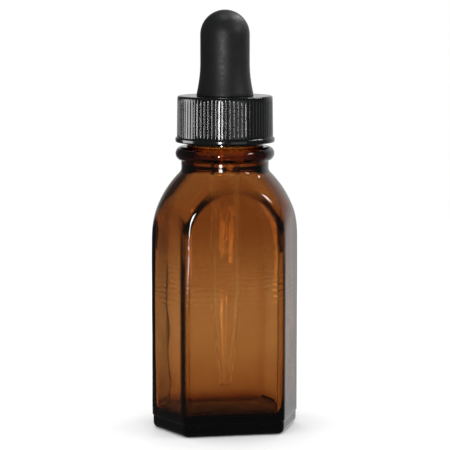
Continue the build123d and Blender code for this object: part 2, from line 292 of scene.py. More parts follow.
# %% Dome, neck, bead, finish and lip, outside
dome_end = math.acos((NECK_RADIUS + NECK_BLEND - DOME_CENTRE) / (SHOULDER_RADIUS + NECK_BLEND))
neck_z = SHOULDER_Z + (SHOULDER_RADIUS + NECK_BLEND) * math.sin(dome_end)
dome_turn = steps(0, dome_end, 44)
root_turn = steps(dome_end, 0, 6)
bead_round = ((BEAD_HEIGHT / 2) ** 2 + BEAD_BULGE**2) / (2 * BEAD_BULGE)
bead_half = math.asin(BEAD_HEIGHT / 2 / bead_round)
bead_turn = steps(-bead_half, bead_half, 16)
bead_centre = NECK_RADIUS + BEAD_BULGE - bead_round
quarter = steps(0, np.pi / 2, 5)
neck_rows = [
    ring_rows(
        SHOULDER_Z + SHOULDER_RADIUS * np.sin(dome_turn),
        DOME_CENTRE + SHOULDER_RADIUS * np.cos(dome_turn),
    ),
    ring_rows(
        neck_z - NECK_BLEND * np.sin(root_turn),
        NECK_RADIUS + NECK_BLEND * (1 - np.cos(root_turn)),
    ),
    ring_rows(steps(neck_z, BEAD_BOTTOM_Z, 8), NECK_RADIUS),
    ring_rows(
        BEAD_BOTTOM_Z + BEAD_HEIGHT / 2 + bead_round * np.sin(bead_turn),
        bead_centre + bead_round * np.cos(bead_turn),
    ),
    ring_rows(BEAD_TOP_Z, steps(NECK_RADIUS, FINISH_RADIUS + FINISH_ROOT, 3)),
    ring_rows(
        BEAD_TOP_Z + FINISH_ROOT * (1 - np.cos(quarter)),
        FINISH_RADIUS + FINISH_ROOT * (1 - np.sin(quarter)),
    ),
    ring_rows(steps(BEAD_TOP_Z + FINISH_ROOT, LIP_Z - LIP_ROUND, 44), FINISH_RADIUS),
    ring_rows(
        LIP_Z - LIP_ROUND * (1 - np.sin(quarter)),
        FINISH_RADIUS - LIP_ROUND * (1 - np.cos(quarter)),
    ),
    ring_rows(LIP_Z, steps(FINISH_RADIUS - LIP_ROUND, BORE_RADIUS + LIP_ROUND, 3)),
]
outside = np.vstack(body_rows + neck_rows)
print("rings outside:", len(outside), "neck starts at", round(neck_z, 2), "mm")

# %% Bore, inner dome, inner walls and floor
inner_dome = DOME_RADIUS - GLASS_WALL
inner_arc = SHOULDER_RADIUS - GLASS_WALL
down = steps(LIP_Z - LIP_ROUND, SHOULDER_Z, 36)
arc_reach = np.sqrt(np.maximum(inner_arc**2 - (down - SHOULDER_Z) ** 2, 0))
dome_inside = inner_dome - inner_arc + arc_reach
floor_turn = steps(0, np.pi / 2, 8)
share = np.linspace(1, 0, 10)
WALL_GROWTH, THINNEST_Z, WALL_SPAN = 0.65, 26.0, 20
NECK_OPENING, OPENING_TOP_Z, OPENING_LENGTH, BORE_BLEND = 1.5, LIP_Z - 4, 7, 2.5
DOME_PLAY, NECK_WALL_Z = 0.4, SHOULDER_Z + 4
floor_corner = INNER_CORNER_ROUND - 0.9 * FLOOR_ROUND


def wall_at(height):
    """The wall grows thicker above and below its thinnest height, with the square of the distance
    over WALL_SPAN."""
    return GLASS_WALL + SURFACE_ROOM + WALL_GROWTH * ((height - THINNEST_Z) / WALL_SPAN) ** 2


def bore_at(height):
    """The bore opens below the finish, where the neck was blown out, by a smooth step of
    NECK_OPENING."""
    return BORE_RADIUS + NECK_OPENING * smooth_step((OPENING_TOP_Z - height) / OPENING_LENGTH)


body_down = steps(SHOULDER_Z, FLOOR_Z + FLOOR_ROUND, 22)
wall_in = wall_at(FLOOR_Z + FLOOR_ROUND)
inside = np.vstack([
    ring_rows(
        LIP_Z - LIP_ROUND * (1 - np.cos(quarter)),
        BORE_RADIUS + LIP_ROUND * (1 - np.sin(quarter)),
        wall_at(SHOULDER_Z),
        INNER_CORNER_ROUND,
    ),
    ring_rows(
        down,
        soft_max(dome_inside, bore_at(down), BORE_BLEND),
        wall_at(np.minimum(down, NECK_WALL_Z)),
        INNER_CORNER_ROUND,
    ),
    ring_rows(body_down, inner_dome + DOME_PLAY, wall_at(body_down), INNER_CORNER_ROUND),
    ring_rows(
        FLOOR_Z + FLOOR_ROUND * (1 - np.sin(floor_turn)),
        FREE,
        wall_in + FLOOR_ROUND * (1 - np.cos(floor_turn)),
        INNER_CORNER_ROUND - 0.9 * FLOOR_ROUND * (1 - np.cos(floor_turn)),
    ),
    ring_rows(
        FLOOR_Z + FLOOR_RISE * (1 - share**2) ** 2,
        FREE,
        wall_in + FLOOR_ROUND,
        floor_corner,
        share,
    ),
])
print("rings inside:", len(inside))

# %% [markdown]
# ## Thread, mould seams and ripples
# A screw thread is a bump whose middle climbs by one lead in each turn. Both the bottle and the cap
# have one, so it is a helper. The halves of a bottle mould leave a fine upright seam on both sides
# and a ring under the bead. Blown glass is never quite flat either, and it is the slow swell of the
# inner wall that makes things seen through it waver. All of these are added to the radius as small
# lengths.

# %% Small reliefs
THREAD_LEAD = 3.175
GLASS_THREAD_Z, GLASS_THREAD_TURNS = BEAD_TOP_Z + 2.9, 1.15
THREAD_RISE, GLASS_THREAD_FOOT, GLASS_THREAD_CREST = 0.9, 2.0, 0.8
THREAD_FADE = math.radians(28)
SEAM_HEIGHT, SEAM_WIDTH = 0.035, 0.16
NECK_SEAM_Z, NECK_SEAM_RISE, NECK_SEAM_WIDTH = 61.9, 0.05, 0.22
OUTER_RIPPLE, INNER_RIPPLE = 0.02, 0.07
INNER_ARCH_BLEND, INNER_EDGE_BLEND, ARCH_TOP_Z = 2.6, 1.2, 58.0


def thread(angle, height, start_z, start_angle, turns, foot, crest):
    """How much of a thread's rise there is at each point, from 0 to 1. Each turn's middle line is
    at the start height plus the lead times the turns so far. The rise falls from the crest's edge
    to the foot's edge, and it fades over a short angle at both ends of the thread."""
    rise = np.zeros(np.broadcast(angle, height).shape)
    for lap in range(math.ceil(turns) + 1):
        along = (angle - start_angle) % (2 * np.pi) + 2 * np.pi * lap
        off = np.abs(height - start_z - THREAD_LEAD * along / (2 * np.pi))
        flank = smooth_step((foot / 2 - off) / (foot / 2 - crest / 2))
        ends = smooth_step(along / THREAD_FADE) * smooth_step((2 * np.pi * turns - along) / THREAD_FADE)
        rise = np.maximum(rise, flank * ends)
    return rise


def ripple(angle, height, phase):
    """Slow uneven swell between about -1 and 1: the mean of three sine waves that wind round the
    axis."""
    waves = (
        np.sin(2 * angle + 0.21 * height + phase)
        + np.sin(3 * angle - 0.34 * height + 2 * phase)
        + np.sin(5 * angle + 0.55 * height + 3 * phase)
    )
    return waves / 3


def upright_seam(angle, radius):
    """A fine rounded ridge on both sides of the axis, along X: a bell curve of the distance from
    the seam."""
    off = radius * np.abs(np.sin(angle)) / SEAM_WIDTH
    return SEAM_HEIGHT * np.exp(-(off**2))


# %% Radii of the bottle's rings
def outline_radius(rows, arch_blend, edge_blend, side_share=1.0):
    """The share of the soft minimum of the outline and the turned limit, for each ring and column.
    Also returns the outline, the limit and the width of the blend."""
    height, limit, inset, corner, part = (rows[:, k : k + 1] for k in range(5))
    blend = edge_blend + (arch_blend - edge_blend) * np.sin(angles) ** 2
    outline = plan_radius(angles, inset, corner, side_share)
    return part * soft_min(outline, limit, blend), height, outline, limit, blend


outer_radius, outer_z, outline, limit, blend = outline_radius(outside, ARCH_BLEND, EDGE_BLEND)
on_body = smooth_step((outer_z - HEEL_HEIGHT) / 2) * smooth_step((BEAD_TOP_Z - outer_z) / 1.0)
on_finish = (outer_z > BEAD_TOP_Z) & (outer_z < LIP_Z - LIP_ROUND)
outer_radius += OUTER_RIPPLE * on_body * ripple(angles, outer_z, 0.7)
outer_radius += on_body * upright_seam(angles, outer_radius)
outer_radius += NECK_SEAM_RISE * np.exp(-(((outer_z - NECK_SEAM_Z) / NECK_SEAM_WIDTH) ** 2))
outer_radius += THREAD_RISE * on_finish * thread(
    angles,
    outer_z,
    GLASS_THREAD_Z,
    0.0,
    GLASS_THREAD_TURNS,
    GLASS_THREAD_FOOT,
    GLASS_THREAD_CREST,
)
flat_base = outer_z == 0
push_up = PUSH_UP_DEPTH * np.clip(1 - (outer_radius / PUSH_UP_RADIUS) ** 2, 0, 1) ** 2
outer_height = outer_z + np.where(flat_base, push_up, 0)
inner_rings = outline_radius(inside, INNER_ARCH_BLEND, INNER_EDGE_BLEND, SIDE_WALL_SHARE)
inner_radius, inner_z = inner_rings[:2]
on_wall = smooth_step((inner_z - FLOOR_Z) / 4) * smooth_step((ARCH_TOP_Z - inner_z) / 6)
inner_radius += INNER_RIPPLE * on_wall * ripple(angles, inner_z, 2.3)
deepest = (outer_radius * np.sin(angles)).max()
print("widest", round(outer_radius.max(), 3), "mm, deepest panel", round(deepest, 3))

# %% [markdown]
# ## Dark edges, painted as shade
# On the real bottle, the edges where two panels meet look almost black. A rounded edge bends light
# far aside, and the likely reason is that this light comes from a dark part of the room. Rendered
# glass in an evenly white room misses that. So the edges are marked here with a number from 0 to 1,
# and the glass lets less light through where it is high. At the edges of the front and back panels
# the mark lies a few degrees towards the sloping panel, at a place given here.


# %% Mark the edges for painted shade
EDGE_HALF_ANGLE, EDGE_SHIFT, SIDE_HALF_ANGLE = math.radians(4.6), math.radians(3.0), math.radians(3.6)
EDGE_GAIN, ARCH_LINE, ARCH_SOFTNESS = 1.8, 0.55, 0.2
ARCH_START, ARCH_SPREAD = 0.75 * CORNER_ANGLE, 0.2 * CORNER_ANGLE


# Painted shade: how dark the glass's colour is painted at each point of the outside, from 0 to 1.
def painted_edge_shade(outline, limit, blend, height):
    """At an upright edge, one minus the distance from its middle over half its arc, where the
    middle of a front or back edge is moved by EDGE_SHIFT. At the front and back arches, how near
    the outline and the dome are to each other, fading in above the shoulder and out towards the top
    of the arch."""
    ray = np.arctan2(np.abs(np.sin(angles)), np.abs(np.cos(angles)))
    front = 1 - np.abs(ray - CORNER_ANGLE + EDGE_SHIFT) / EDGE_HALF_ANGLE
    side = 1 - ray / SIDE_HALF_ANGLE
    below_dome = smooth_step(0.5 + (limit - outline) / blend)
    upright = smooth_step(EDGE_GAIN * np.maximum(front, side)) * below_dome
    nearness = 1 - np.abs(limit - outline) / blend
    arch = smooth_step((nearness - ARCH_LINE) / ARCH_SOFTNESS)
    arch = arch * smooth_step((ray - ARCH_START) / ARCH_SPREAD)
    arch = arch * smooth_step((ARCH_TOP_Z - height) / 4)
    arch = arch * smooth_step((height - SHOULDER_Z) / 4)
    return np.maximum(upright, arch) * smooth_step((height - 1.0) / 1.0)


# The painted shade goes on the outside only, and the inside gets none.
outer_edge_shade = painted_edge_shade(outline, limit, blend, outer_z)
bottle_edge_shade = np.vstack([outer_edge_shade, np.zeros((len(inside), angles.size))])
print("marked as edge:", round(100 * float((outer_edge_shade > 0.5).mean()), 1), "% of the outside")

# %% Build the bottle
outer_points = around(outer_radius, angles, outer_height)
inner_points = around(inner_radius, angles, inner_z)
bottle_points = np.vstack([outer_points, inner_points])
bottle = ring_mesh("amber_bottle", bottle_points, loop=False, edge=bottle_edge_shade)

# %% [markdown]
# ## Turned pieces
# The cap, the bulb and the pipette are turned shapes with reliefs on them. Their profiles are
# straight runs with rounded corners, so a profile is a short list of corners, each with its
# rounding, and a helper walks along it. A modelling tool's bevel would round them too, but it would
# also cut into the ribs and the threads.


# %% Walk along a profile
def rounded_path(corners, step, closed, arc_step=math.radians(11)):
    """Points (radius, height) along straight runs, with an arc tangent to both runs at each corner.
    The arc's centre lies on the corner's bisector at the rounding over the sine of half the inside
    angle."""
    corners = np.array(corners, dtype=float)
    place, rounding = corners[:, :2], corners[:, 2]
    arcs = []
    for i, here in enumerate(place):
        if rounding[i] == 0:
            arcs.append(here[None])
            continue
        back = place[i - 1] - here
        on = place[(i + 1) % len(place)] - here
        back, on = back / np.hypot(*back), on / np.hypot(*on)
        half = math.acos(np.clip(back @ on, -1, 1)) / 2
        middle = (back + on) / np.hypot(*(back + on))
        across = (on - back) / np.hypot(*(on - back))
        turn = np.pi / 2 - half
        sweep = np.linspace(-turn, turn, max(3, math.ceil(2 * turn / arc_step) + 1))[:, None]
        centre = here + middle * rounding[i] / math.sin(half)
        arcs.append(centre + rounding[i] * (across * np.sin(sweep) - middle * np.cos(sweep)))
    pieces = []
    for i, arc in enumerate(arcs):
        pieces.append(arc)
        if i + 1 == len(arcs) and not closed:
            break
        to = arcs[(i + 1) % len(arcs)][0]
        count = int(np.hypot(*(to - arc[-1])) / step)
        between = np.linspace(0, 1, count + 2)[1:-1, None]
        pieces.append(arc[-1] + between * (to - arc[-1]))
    return np.vstack(pieces)


def turned_piece(name, path, columns, relief, loop, grooves=1, crowd=0.0):
    """A profile carried round the axis, with a relief added to its radius at each angle and height.
    The columns stand closer in each groove: the crowding times the sine of the groove's phase is
    taken off their angle."""
    even = steps(0, 2 * np.pi, columns)[None, :]
    angle = even - crowd * np.sin(grooves * even) / grooves
    radius, height = path[:, :1], path[:, 1:]
    return ring_mesh(name, around(radius + relief(angle, radius, height), angle, height), loop)


# %% [markdown]
# ## The screw cap
# A phenolic or polypropylene cap is moulded with fine upright ribs for grip, a plain rim at the top
# and a thin flange at the mouth. The wall leans out a little towards the mouth, so that it leaves
# its mould. There are 72 ribs, and cutting each as a mesh part would be slow. Here the groove is a
# function of the angle, and it fades out near both ends of the wall, as the end of a milling cutter
# leaves it.

# %% Sizes of the cap
CAP_RADIUS, CAP_DRAFT = 11.0, 0.12
FLANGE_RADIUS, FLANGE_HEIGHT = cap_high[0], 1.15
CAP_ROOM_RADIUS, CAP_CEILING_Z, CAP_HOLE_RADIUS = 9.9, CAP_TOP_Z - 1.3, 6.2
RIB_COUNT, RIB_DEPTH, GROOVE_POWER, COLUMNS_PER_RIB, RIB_CROWD = 72, 0.1, 9.0, 12, 0.6
GROOVED_HEIGHT, GROOVE_FADE, GROOVE_TOP = 9.5, 0.5, 0.93
CAP_WAVER, WAVER_WAVES, WAVER_SWING, WAVER_RATE = 0.004, 13, 3, 0.9
CAP_THREAD_FOOT, CAP_THREAD_CREST, CAP_STEP = 1.3, 0.5, 0.5
CAP_THREAD_Z, CAP_THREAD_TURNS = CAP_MOUTH_Z + 1.3, 1.3
cap_thread_angle = 2 * np.pi * (CAP_THREAD_Z - GLASS_THREAD_Z + THREAD_LEAD / 2) / THREAD_LEAD
cap_path = rounded_path(
    [
        (CAP_HOLE_RADIUS, CAP_TOP_Z, 0.12),
        (CAP_RADIUS, CAP_TOP_Z, 0.45),
        (CAP_RADIUS, CAP_MOUTH_Z + FLANGE_HEIGHT, 0.08),
        (FLANGE_RADIUS, CAP_MOUTH_Z + FLANGE_HEIGHT, 0.33),
        (FLANGE_RADIUS, CAP_MOUTH_Z, 0.33),
        (CAP_ROOM_RADIUS, CAP_MOUTH_Z, 0.3),
        (CAP_ROOM_RADIUS, CAP_CEILING_Z, 0.25),
        (CAP_HOLE_RADIUS, CAP_CEILING_Z, 0.12),
    ],
    CAP_STEP,
    closed=True,
    arc_step=math.radians(18),
)
print("cap profile:", len(cap_path), "points")


# %% Ribs, draft and thread
def cap_relief(angle, radius, height):
    """The wall leans out evenly from its top to the flange. A groove is a raised cosine to a high
    power, repeated round the cap, and it fades over GROOVE_FADE at both ends. The moulded wall also
    wavers by a few thousandths of a millimetre: a sine wave round the cap whose phase swings with
    the height. The thread stands inwards."""
    up = (height - CAP_MOUTH_Z - FLANGE_HEIGHT) / (CAP_TOP_Z - CAP_MOUTH_Z - FLANGE_HEIGHT)
    outer_wall = (radius > CAP_RADIUS - 0.1) & (up > 0)
    groove = (0.5 + 0.5 * np.cos(RIB_COUNT * angle)) ** GROOVE_POWER
    lower_end = smooth_step(up * GROOVED_HEIGHT / GROOVE_FADE - 0.2)
    ends = lower_end * smooth_step((GROOVE_TOP - up) * GROOVED_HEIGHT / GROOVE_FADE)
    swing = WAVER_SWING * np.sin(WAVER_RATE * height)
    waver = CAP_WAVER * np.sin(WAVER_WAVES * angle + swing)
    lean = CAP_DRAFT * (1 - up)
    wall = np.where(outer_wall, lean - RIB_DEPTH * groove * ends + waver * ends, 0)
    room_wall = (np.abs(radius - CAP_ROOM_RADIUS) < 0.02) & (height < CAP_CEILING_Z - 0.3)
    ridge = thread(
        angle,
        height,
        CAP_THREAD_Z,
        cap_thread_angle,
        CAP_THREAD_TURNS,
        CAP_THREAD_FOOT,
        CAP_THREAD_CREST,
    )
    return wall - np.where(room_wall, THREAD_RISE * ridge, 0)


cap = turned_piece(
    "ribbed_cap",
    cap_path,
    RIB_COUNT * COLUMNS_PER_RIB,
    cap_relief,
    loop=True,
    grooves=RIB_COUNT,
    crowd=RIB_CROWD,
)

# %% [markdown]
# ## The rubber bulb
# The bulb is moulded rubber: a round-ended tube that flares where it meets the cap, with a neck
# through the cap's hole and a broad flange below it that seals the bottle. It is hollow, so its
# profile goes over the outside and back up the inside. The flare is a power curve, because a single
# arc would leave the tube too suddenly.

# %% Build the bulb
BULB_RADIUS, BULB_INNER_RADIUS = 5.7, 4.3
BULB_NECK_RADIUS, BULB_FLANGE_RADIUS = 6.12, bulb_high[0]
FLARE, FLARE_HEIGHT, FLARE_POWER, BULB_LIP = 0.87, 7.0, 1.85, 0.4
BULB_STEP, BULB_COLUMNS = 0.5, 192
PIPETTE_RADIUS = 3.5
GRIP_TOP_Z = PIPETTE_TOP_Z - 1.2
bulb_path = rounded_path(
    [
        (0, BULB_TOP_Z, 0),
        (BULB_RADIUS, BULB_TOP_Z, BULB_RADIUS),
        (BULB_RADIUS, CAP_TOP_Z, 0.1),
        (BULB_NECK_RADIUS - FLARE, CAP_TOP_Z, 0.1),
        (BULB_NECK_RADIUS, CAP_CEILING_Z, 0.1),
        (BULB_FLANGE_RADIUS, CAP_CEILING_Z, 0.3),
        (BULB_FLANGE_RADIUS, LIP_Z, 0.3),
        (PIPETTE_RADIUS, LIP_Z, 0.2),
        (PIPETTE_RADIUS, GRIP_TOP_Z, 0.1),
        (BULB_INNER_RADIUS, GRIP_TOP_Z, 0.2),
        (BULB_INNER_RADIUS, BULB_TOP_Z - BULB_RADIUS + BULB_INNER_RADIUS, BULB_INNER_RADIUS),
        (0, BULB_TOP_Z - BULB_RADIUS + BULB_INNER_RADIUS, 0),
    ],
    BULB_STEP,
    closed=False,
    arc_step=math.radians(5),
)


def bulb_relief(angle, radius, height):
    """The flare is the share of its height that is left, to the power FLARE_POWER. A fine seam runs
    up both sides."""
    outer = (radius > PIPETTE_RADIUS + 1) & (height >= CAP_TOP_Z - 0.01)
    left = np.clip(1 - (height - CAP_TOP_Z - BULB_LIP) / FLARE_HEIGHT, 0, 1)
    seam = 0.5 * upright_seam(angle, radius) * smooth_step((BULB_TOP_Z - 2 - height) / 3)
    return np.where(outer & (radius > BULB_INNER_RADIUS + 0.1), FLARE * left**FLARE_POWER + seam, 0)


bulb = turned_piece("bulb", bulb_path, BULB_COLUMNS, bulb_relief, loop=False)

# %% [markdown]
# ## The glass pipette
# The pipette is cut from drawn tube, and its lower end is heated and pulled to a fine tip. Both
# ends are fire polished, which rounds every edge. The upper end is also pushed in to a small bulge
# that keeps it in the bulb.

# %% Build the pipette
BORE_WALL, DRAWN_SWELL = 1.0, 0.012
PIPETTE_STEP, PIPETTE_COLUMNS = 0.6, 128
TAPER_Z, TIP_RADIUS, TIP_BORE, RIM_HEIGHT = TIP_Z + 20.5, 1.3, 0.55, 1.2
RIM_BULGE = pipette_high[0] - PIPETTE_RADIUS
pipette_path = rounded_path(
    [
        (TIP_RADIUS, TIP_Z, 0.36),
        (PIPETTE_RADIUS, TAPER_Z, 60.0),
        (PIPETTE_RADIUS, PIPETTE_TOP_Z, 0.45),
        (PIPETTE_RADIUS - BORE_WALL, PIPETTE_TOP_Z, 0.45),
        (PIPETTE_RADIUS - BORE_WALL, TAPER_Z, 60.0),
        (TIP_BORE, TIP_Z, 0.3),
    ],
    PIPETTE_STEP,
    closed=True,
)


def pipette_relief(angle, radius, height):
    """The rim's bulge is one minus the square of the distance from its middle, squared. The drawn
    wall has a very slow swell."""
    off = np.clip(np.abs(height - PIPETTE_TOP_Z + RIM_HEIGHT / 2) / (RIM_HEIGHT / 2), 0, 1)
    rim = np.where(radius > PIPETTE_RADIUS - 0.5, RIM_BULGE * (1 - off**2) ** 2, 0)
    return rim + DRAWN_SWELL * np.sin(angle + 0.4 * height)


pipette = turned_piece("dropper_pipette", pipette_path, PIPETTE_COLUMNS, pipette_relief, loop=True)

# %% [markdown]
# ## Finishes
# Every finish is a small node tree. One helper adds a node and sets or links its inputs. Patterns
# read the Object coordinates, which are metres here, so a noise scale of 1000 has features of about
# a millimetre.


# %% A node helper
def add(tree, kind, sockets, **settings):
    """A new node. An input's value is a number or colour, or another node's output, which is linked
    to it."""
    made = tree.nodes.new(kind)
    for key, value in settings.items():
        setattr(made, key, value)
    for key, value in sockets.items():
        if isinstance(value, bpy.types.NodeSocket):
            tree.links.new(value, made.inputs[key])
        else:
            made.inputs[key].default_value = value
    return made


def new_finish(name):
    """An empty material with its shader, its output and its Object coordinates."""
    made = bpy.data.materials.new(name)
    made.use_nodes = True
    tree = made.node_tree
    tree.nodes.clear()
    shader = tree.nodes.new("ShaderNodeBsdfPrincipled")
    output = add(tree, "ShaderNodeOutputMaterial", {"Surface": shader.outputs[0]})
    place = tree.nodes.new("ShaderNodeTexCoord").outputs["Object"]
    return made, tree, shader, output, place


def noise(tree, place, scale, detail=2.0, stretch=(1, 1, 1)):
    """Noise from 0 to 1 with features of about one over the scale. A stretch under 1 draws it out
    along an axis."""
    spread = add(tree, "ShaderNodeMapping", {"Vector": place, "Scale": stretch})
    sockets = {"Vector": spread.outputs[0], "Scale": scale, "Detail": detail}
    return add(tree, "ShaderNodeTexNoise", sockets).outputs["Fac"]


def colour_mix(tree, share, low, high):
    """The colour from low to high, by a share from 0 to 1."""
    sockets = {0: share, 6: low, 7: high}
    return add(tree, "ShaderNodeMix", sockets, data_type="RGBA").outputs[2]


def number_mix(tree, share, low, high):
    """The number from low to high, by a share from 0 to 1."""
    sockets = {0: share, 2: low, 3: high}
    return add(tree, "ShaderNodeMix", sockets, data_type="FLOAT").outputs[0]


def maths(tree, operation, *values):
    """One sum, difference, product or comparison of numbers or of other nodes' outputs."""
    return add(tree, "ShaderNodeMath", dict(enumerate(values)), operation=operation).outputs[0]


def between(tree, value, low, high, from_low=0.3, from_high=0.7):
    """Stretches the middle of a noise value to the range from low to high."""
    sockets = {"Value": value, "From Min": from_low, "From Max": from_high, "To Min": low, "To Max": high}
    return add(tree, "ShaderNodeMapRange", sockets).outputs[0]


def bump(tree, height, strength, distance, under=None):
    """A bump of that distance in metres, on top of another bump if there is one."""
    sockets = {"Height": height, "Strength": strength, "Distance": distance}
    if under is not None:
        sockets["Normal"] = under
    return add(tree, "ShaderNodeBump", sockets).outputs[0]


# %% [markdown]
# ## Amber and clear glass
# Amber glass is coloured right through, so its tint comes from the depth of glass that the light
# crosses, and not from a coloured surface. Two thin walls look orange-brown, and the thick base
# goes almost black. A Volume Absorption node does this: light loses a share per metre, least in the
# red and most in the blue. The surface itself is clear and polished, with the faint swell and chill
# ripples of moulded glass. Painted shade on its colour also dims what gets through, in two places:
# along the marked edges, and where it is seen at a flat angle, which a Layer Weight node measures.
# This painted shade stands in for dark parts of a room that this white one doesn't have, and it
# makes a panel seen almost edge-on too dark. Both count only on a face that a path meets from the
# air side, and not where it leaves the glass again, so that each wall takes its share once.

# %% Amber glass
GLASS_IOR = 1.52
AMBER_LOSS = (370.0, 668.0, 1110.0)
GRAZING_START, GRAZING_FULL = 0.52, 0.83
# The second colour here is the painted shade that the glass's colour takes at its edges and at a flat
# view.
WHITE, PAINTED_EDGE_SHADE = (1.0, 1.0, 1.0, 1.0), (0.002, 0.0015, 0.001, 1.0)
CHILL_Z, CHILL_CORE, CHILL_REACH = 0.0325, 0.001, 0.006
amber, tree, shader, output, place = new_finish("amber_glass")
# Painted shade: the glass's colour goes dark along the marked edges and where it is seen at a flat angle,
# only on faces met from the air side.
edge_shade_value = add(tree, "ShaderNodeAttribute", {}, attribute_name="edge").outputs["Fac"]
facing = tree.nodes.new("ShaderNodeLayerWeight").outputs["Facing"]
grazing_shade = between(tree, facing, 0.0, 1.0, GRAZING_START, GRAZING_FULL)
leaving = tree.nodes.new("ShaderNodeNewGeometry").outputs["Backfacing"]
entering = maths(tree, "SUBTRACT", 1.0, leaving)
painted_shade_share = maths(tree, "MULTIPLY", maths(tree, "MAXIMUM", edge_shade_value, grazing_shade), entering)
tree.links.new(colour_mix(tree, painted_shade_share, WHITE, PAINTED_EDGE_SHADE), shader.inputs["Base Color"])
shader.inputs["Transmission Weight"].default_value = 1.0
shader.inputs["IOR"].default_value = GLASS_IOR
tree.links.new(between(tree, noise(tree, place, 220.0), 0.0, 0.03), shader.inputs["Roughness"])
swell_bump = bump(tree, noise(tree, place, 130.0, 1.0, (1, 1, 0.35)), 0.35, 0.0003)
band_sockets = {"Vector": place, "Scale": 250.0, "Distortion": 3.0, "Detail": 2.0}
bands = add(tree, "ShaderNodeTexWave", band_sockets, bands_direction="Z").outputs["Fac"]
up = add(tree, "ShaderNodeSeparateXYZ", {"Vector": place}).outputs["Z"]
off_band = maths(tree, "ABSOLUTE", maths(tree, "SUBTRACT", up, CHILL_Z))
in_band = between(tree, off_band, 1.0, 0.0, CHILL_CORE, CHILL_REACH)
chill = maths(tree, "MULTIPLY", bands, in_band)
tree.links.new(bump(tree, chill, 0.25, 0.00008, swell_bump), shader.inputs["Normal"])
loss = max(AMBER_LOSS)
tint = tuple(1 - value / loss for value in AMBER_LOSS) + (1.0,)
absorb = add(tree, "ShaderNodeVolumeAbsorption", {"Color": tint, "Density": loss})
tree.links.new(absorb.outputs[0], output.inputs["Volume"])
bottle.data.materials.append(amber)
print("amber tint", [round(value, 3) for value in tint[:3]], "density", loss)

# %% Clear glass
clear, tree, shader, output, place = new_finish("clear_glass")
shader.inputs["Base Color"].default_value = WHITE
shader.inputs["Transmission Weight"].default_value = 1.0
shader.inputs["IOR"].default_value = 1.5
tree.links.new(between(tree, noise(tree, place, 300.0), 0.0, 0.04), shader.inputs["Roughness"])
draw_lines = noise(tree, place, 900.0, 2.0, (1, 1, 0.05))
tree.links.new(bump(tree, draw_lines, 0.08, 0.00005), shader.inputs["Normal"])
absorb = add(tree, "ShaderNodeVolumeAbsorption", {"Color": (0.82, 0.96, 0.9, 1.0), "Density": 25.0})
tree.links.new(absorb.outputs[0], output.inputs["Volume"])
pipette.data.materials.append(clear)
print("clear glass is done")

# %% [markdown]
# ## Black plastic and black rubber
# The cap is shiny black plastic. Its gloss wavers a little, from the flow of the plastic in the
# mould. It has no bump, because a bump on such fine ribs breaks their glints into dots. The bulb is
# matte rubber with a slightly green cast and a fine grain, and its highlight is broad and soft.

# %% Cap plastic
plastic, tree, shader, output, place = new_finish("gloss_black_plastic")
mottle = noise(tree, place, 350.0, 3.0)
black = colour_mix(tree, mottle, (0.003, 0.0035, 0.0035, 1.0), (0.006, 0.0065, 0.0065, 1.0))
tree.links.new(black, shader.inputs["Base Color"])
tree.links.new(between(tree, noise(tree, place, 700.0, 3.0), 0.11, 0.17), shader.inputs["Roughness"])
cap.data.materials.append(plastic)
print("cap finish is done")

# %% Bulb rubber
rubber, tree, shader, output, place = new_finish("matte_black_rubber")
mottle = noise(tree, place, 260.0, 4.0)
black = colour_mix(tree, mottle, (0.003, 0.0045, 0.0035, 1.0), (0.007, 0.010, 0.008, 1.0))
tree.links.new(black, shader.inputs["Base Color"])
tree.links.new(between(tree, noise(tree, place, 1500.0, 3.0), 0.42, 0.56), shader.inputs["Roughness"])
grain = bump(tree, noise(tree, place, 3500.0, 3.0), 0.25, 0.00004)
tree.links.new(grain, shader.inputs["Normal"])
bulb.data.materials.append(rubber)
print("bulb finish is done")

# %% [markdown]
# ## Which piece moves with what
# The cap turns on its own body. The bulb and the pipette rise together, and the bottle stays.

# %% Bodies and replaced nodes
for piece, body, node, slot in (
    (bottle, "bottle", "glass_bottle", "amber_glass"),
    (cap, "cap", "screw_cap", "black_cap"),
    (bulb, "dropper", "rubber_bulb", "black_rubber"),
    (pipette, "dropper", "glass_pipette", "clear_glass"),
):
    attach(piece, body)
    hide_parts(node)
    print(piece.name, "rides on", body)

# %% [markdown]
# ## Floor and surroundings
# Glass shows what is around it. A white room in every direction makes amber glass glow evenly, so
# the world is white for the camera and for light that comes through glass. A mirror reflection of
# that much white would wash out the front panels, so reflections see a room that is dim in front
# and bright behind. A matte surface sees a slightly brighter one, which keeps the floor near white.
# The floor is pale and catches the shadow, and further out it glows as the room does, so that no
# horizon shows.

# %% Floor
FLOOR_RADIUS, FIRST_RIM, RIMS, SPOKES = 3.0, 0.02, 24, 96
GLOW_START, GLOW_FULL = 0.06, 0.5
rims = np.concatenate([[0], np.geomspace(FIRST_RIM, FLOOR_RADIUS, RIMS)]) / MM
spokes = steps(0, 2 * np.pi, SPOKES)[None, :]
floor_points = around(rims[:, None], spokes, np.zeros((1, 1)))
floor_index = np.arange(floor_points.shape[0] * SPOKES).reshape(-1, SPOKES)
onward = np.roll(floor_index, -1, axis=1)
floor_corners = [floor_index[1:-1], floor_index[2:], onward[2:], onward[1:-1]]
floor_faces = np.stack(floor_corners, axis=-1).reshape(-1, 4).tolist()
floor_faces.append(floor_index[1].tolist())
floor_mesh = bpy.data.meshes.new("studio_floor")
floor_mesh.from_pydata((floor_points.reshape(-1, 3) * MM).tolist(), [], floor_faces)
studio_floor = bpy.data.objects.new("studio_floor", floor_mesh)
bpy.context.collection.objects.link(studio_floor)
studio_floor.visible_glossy = False

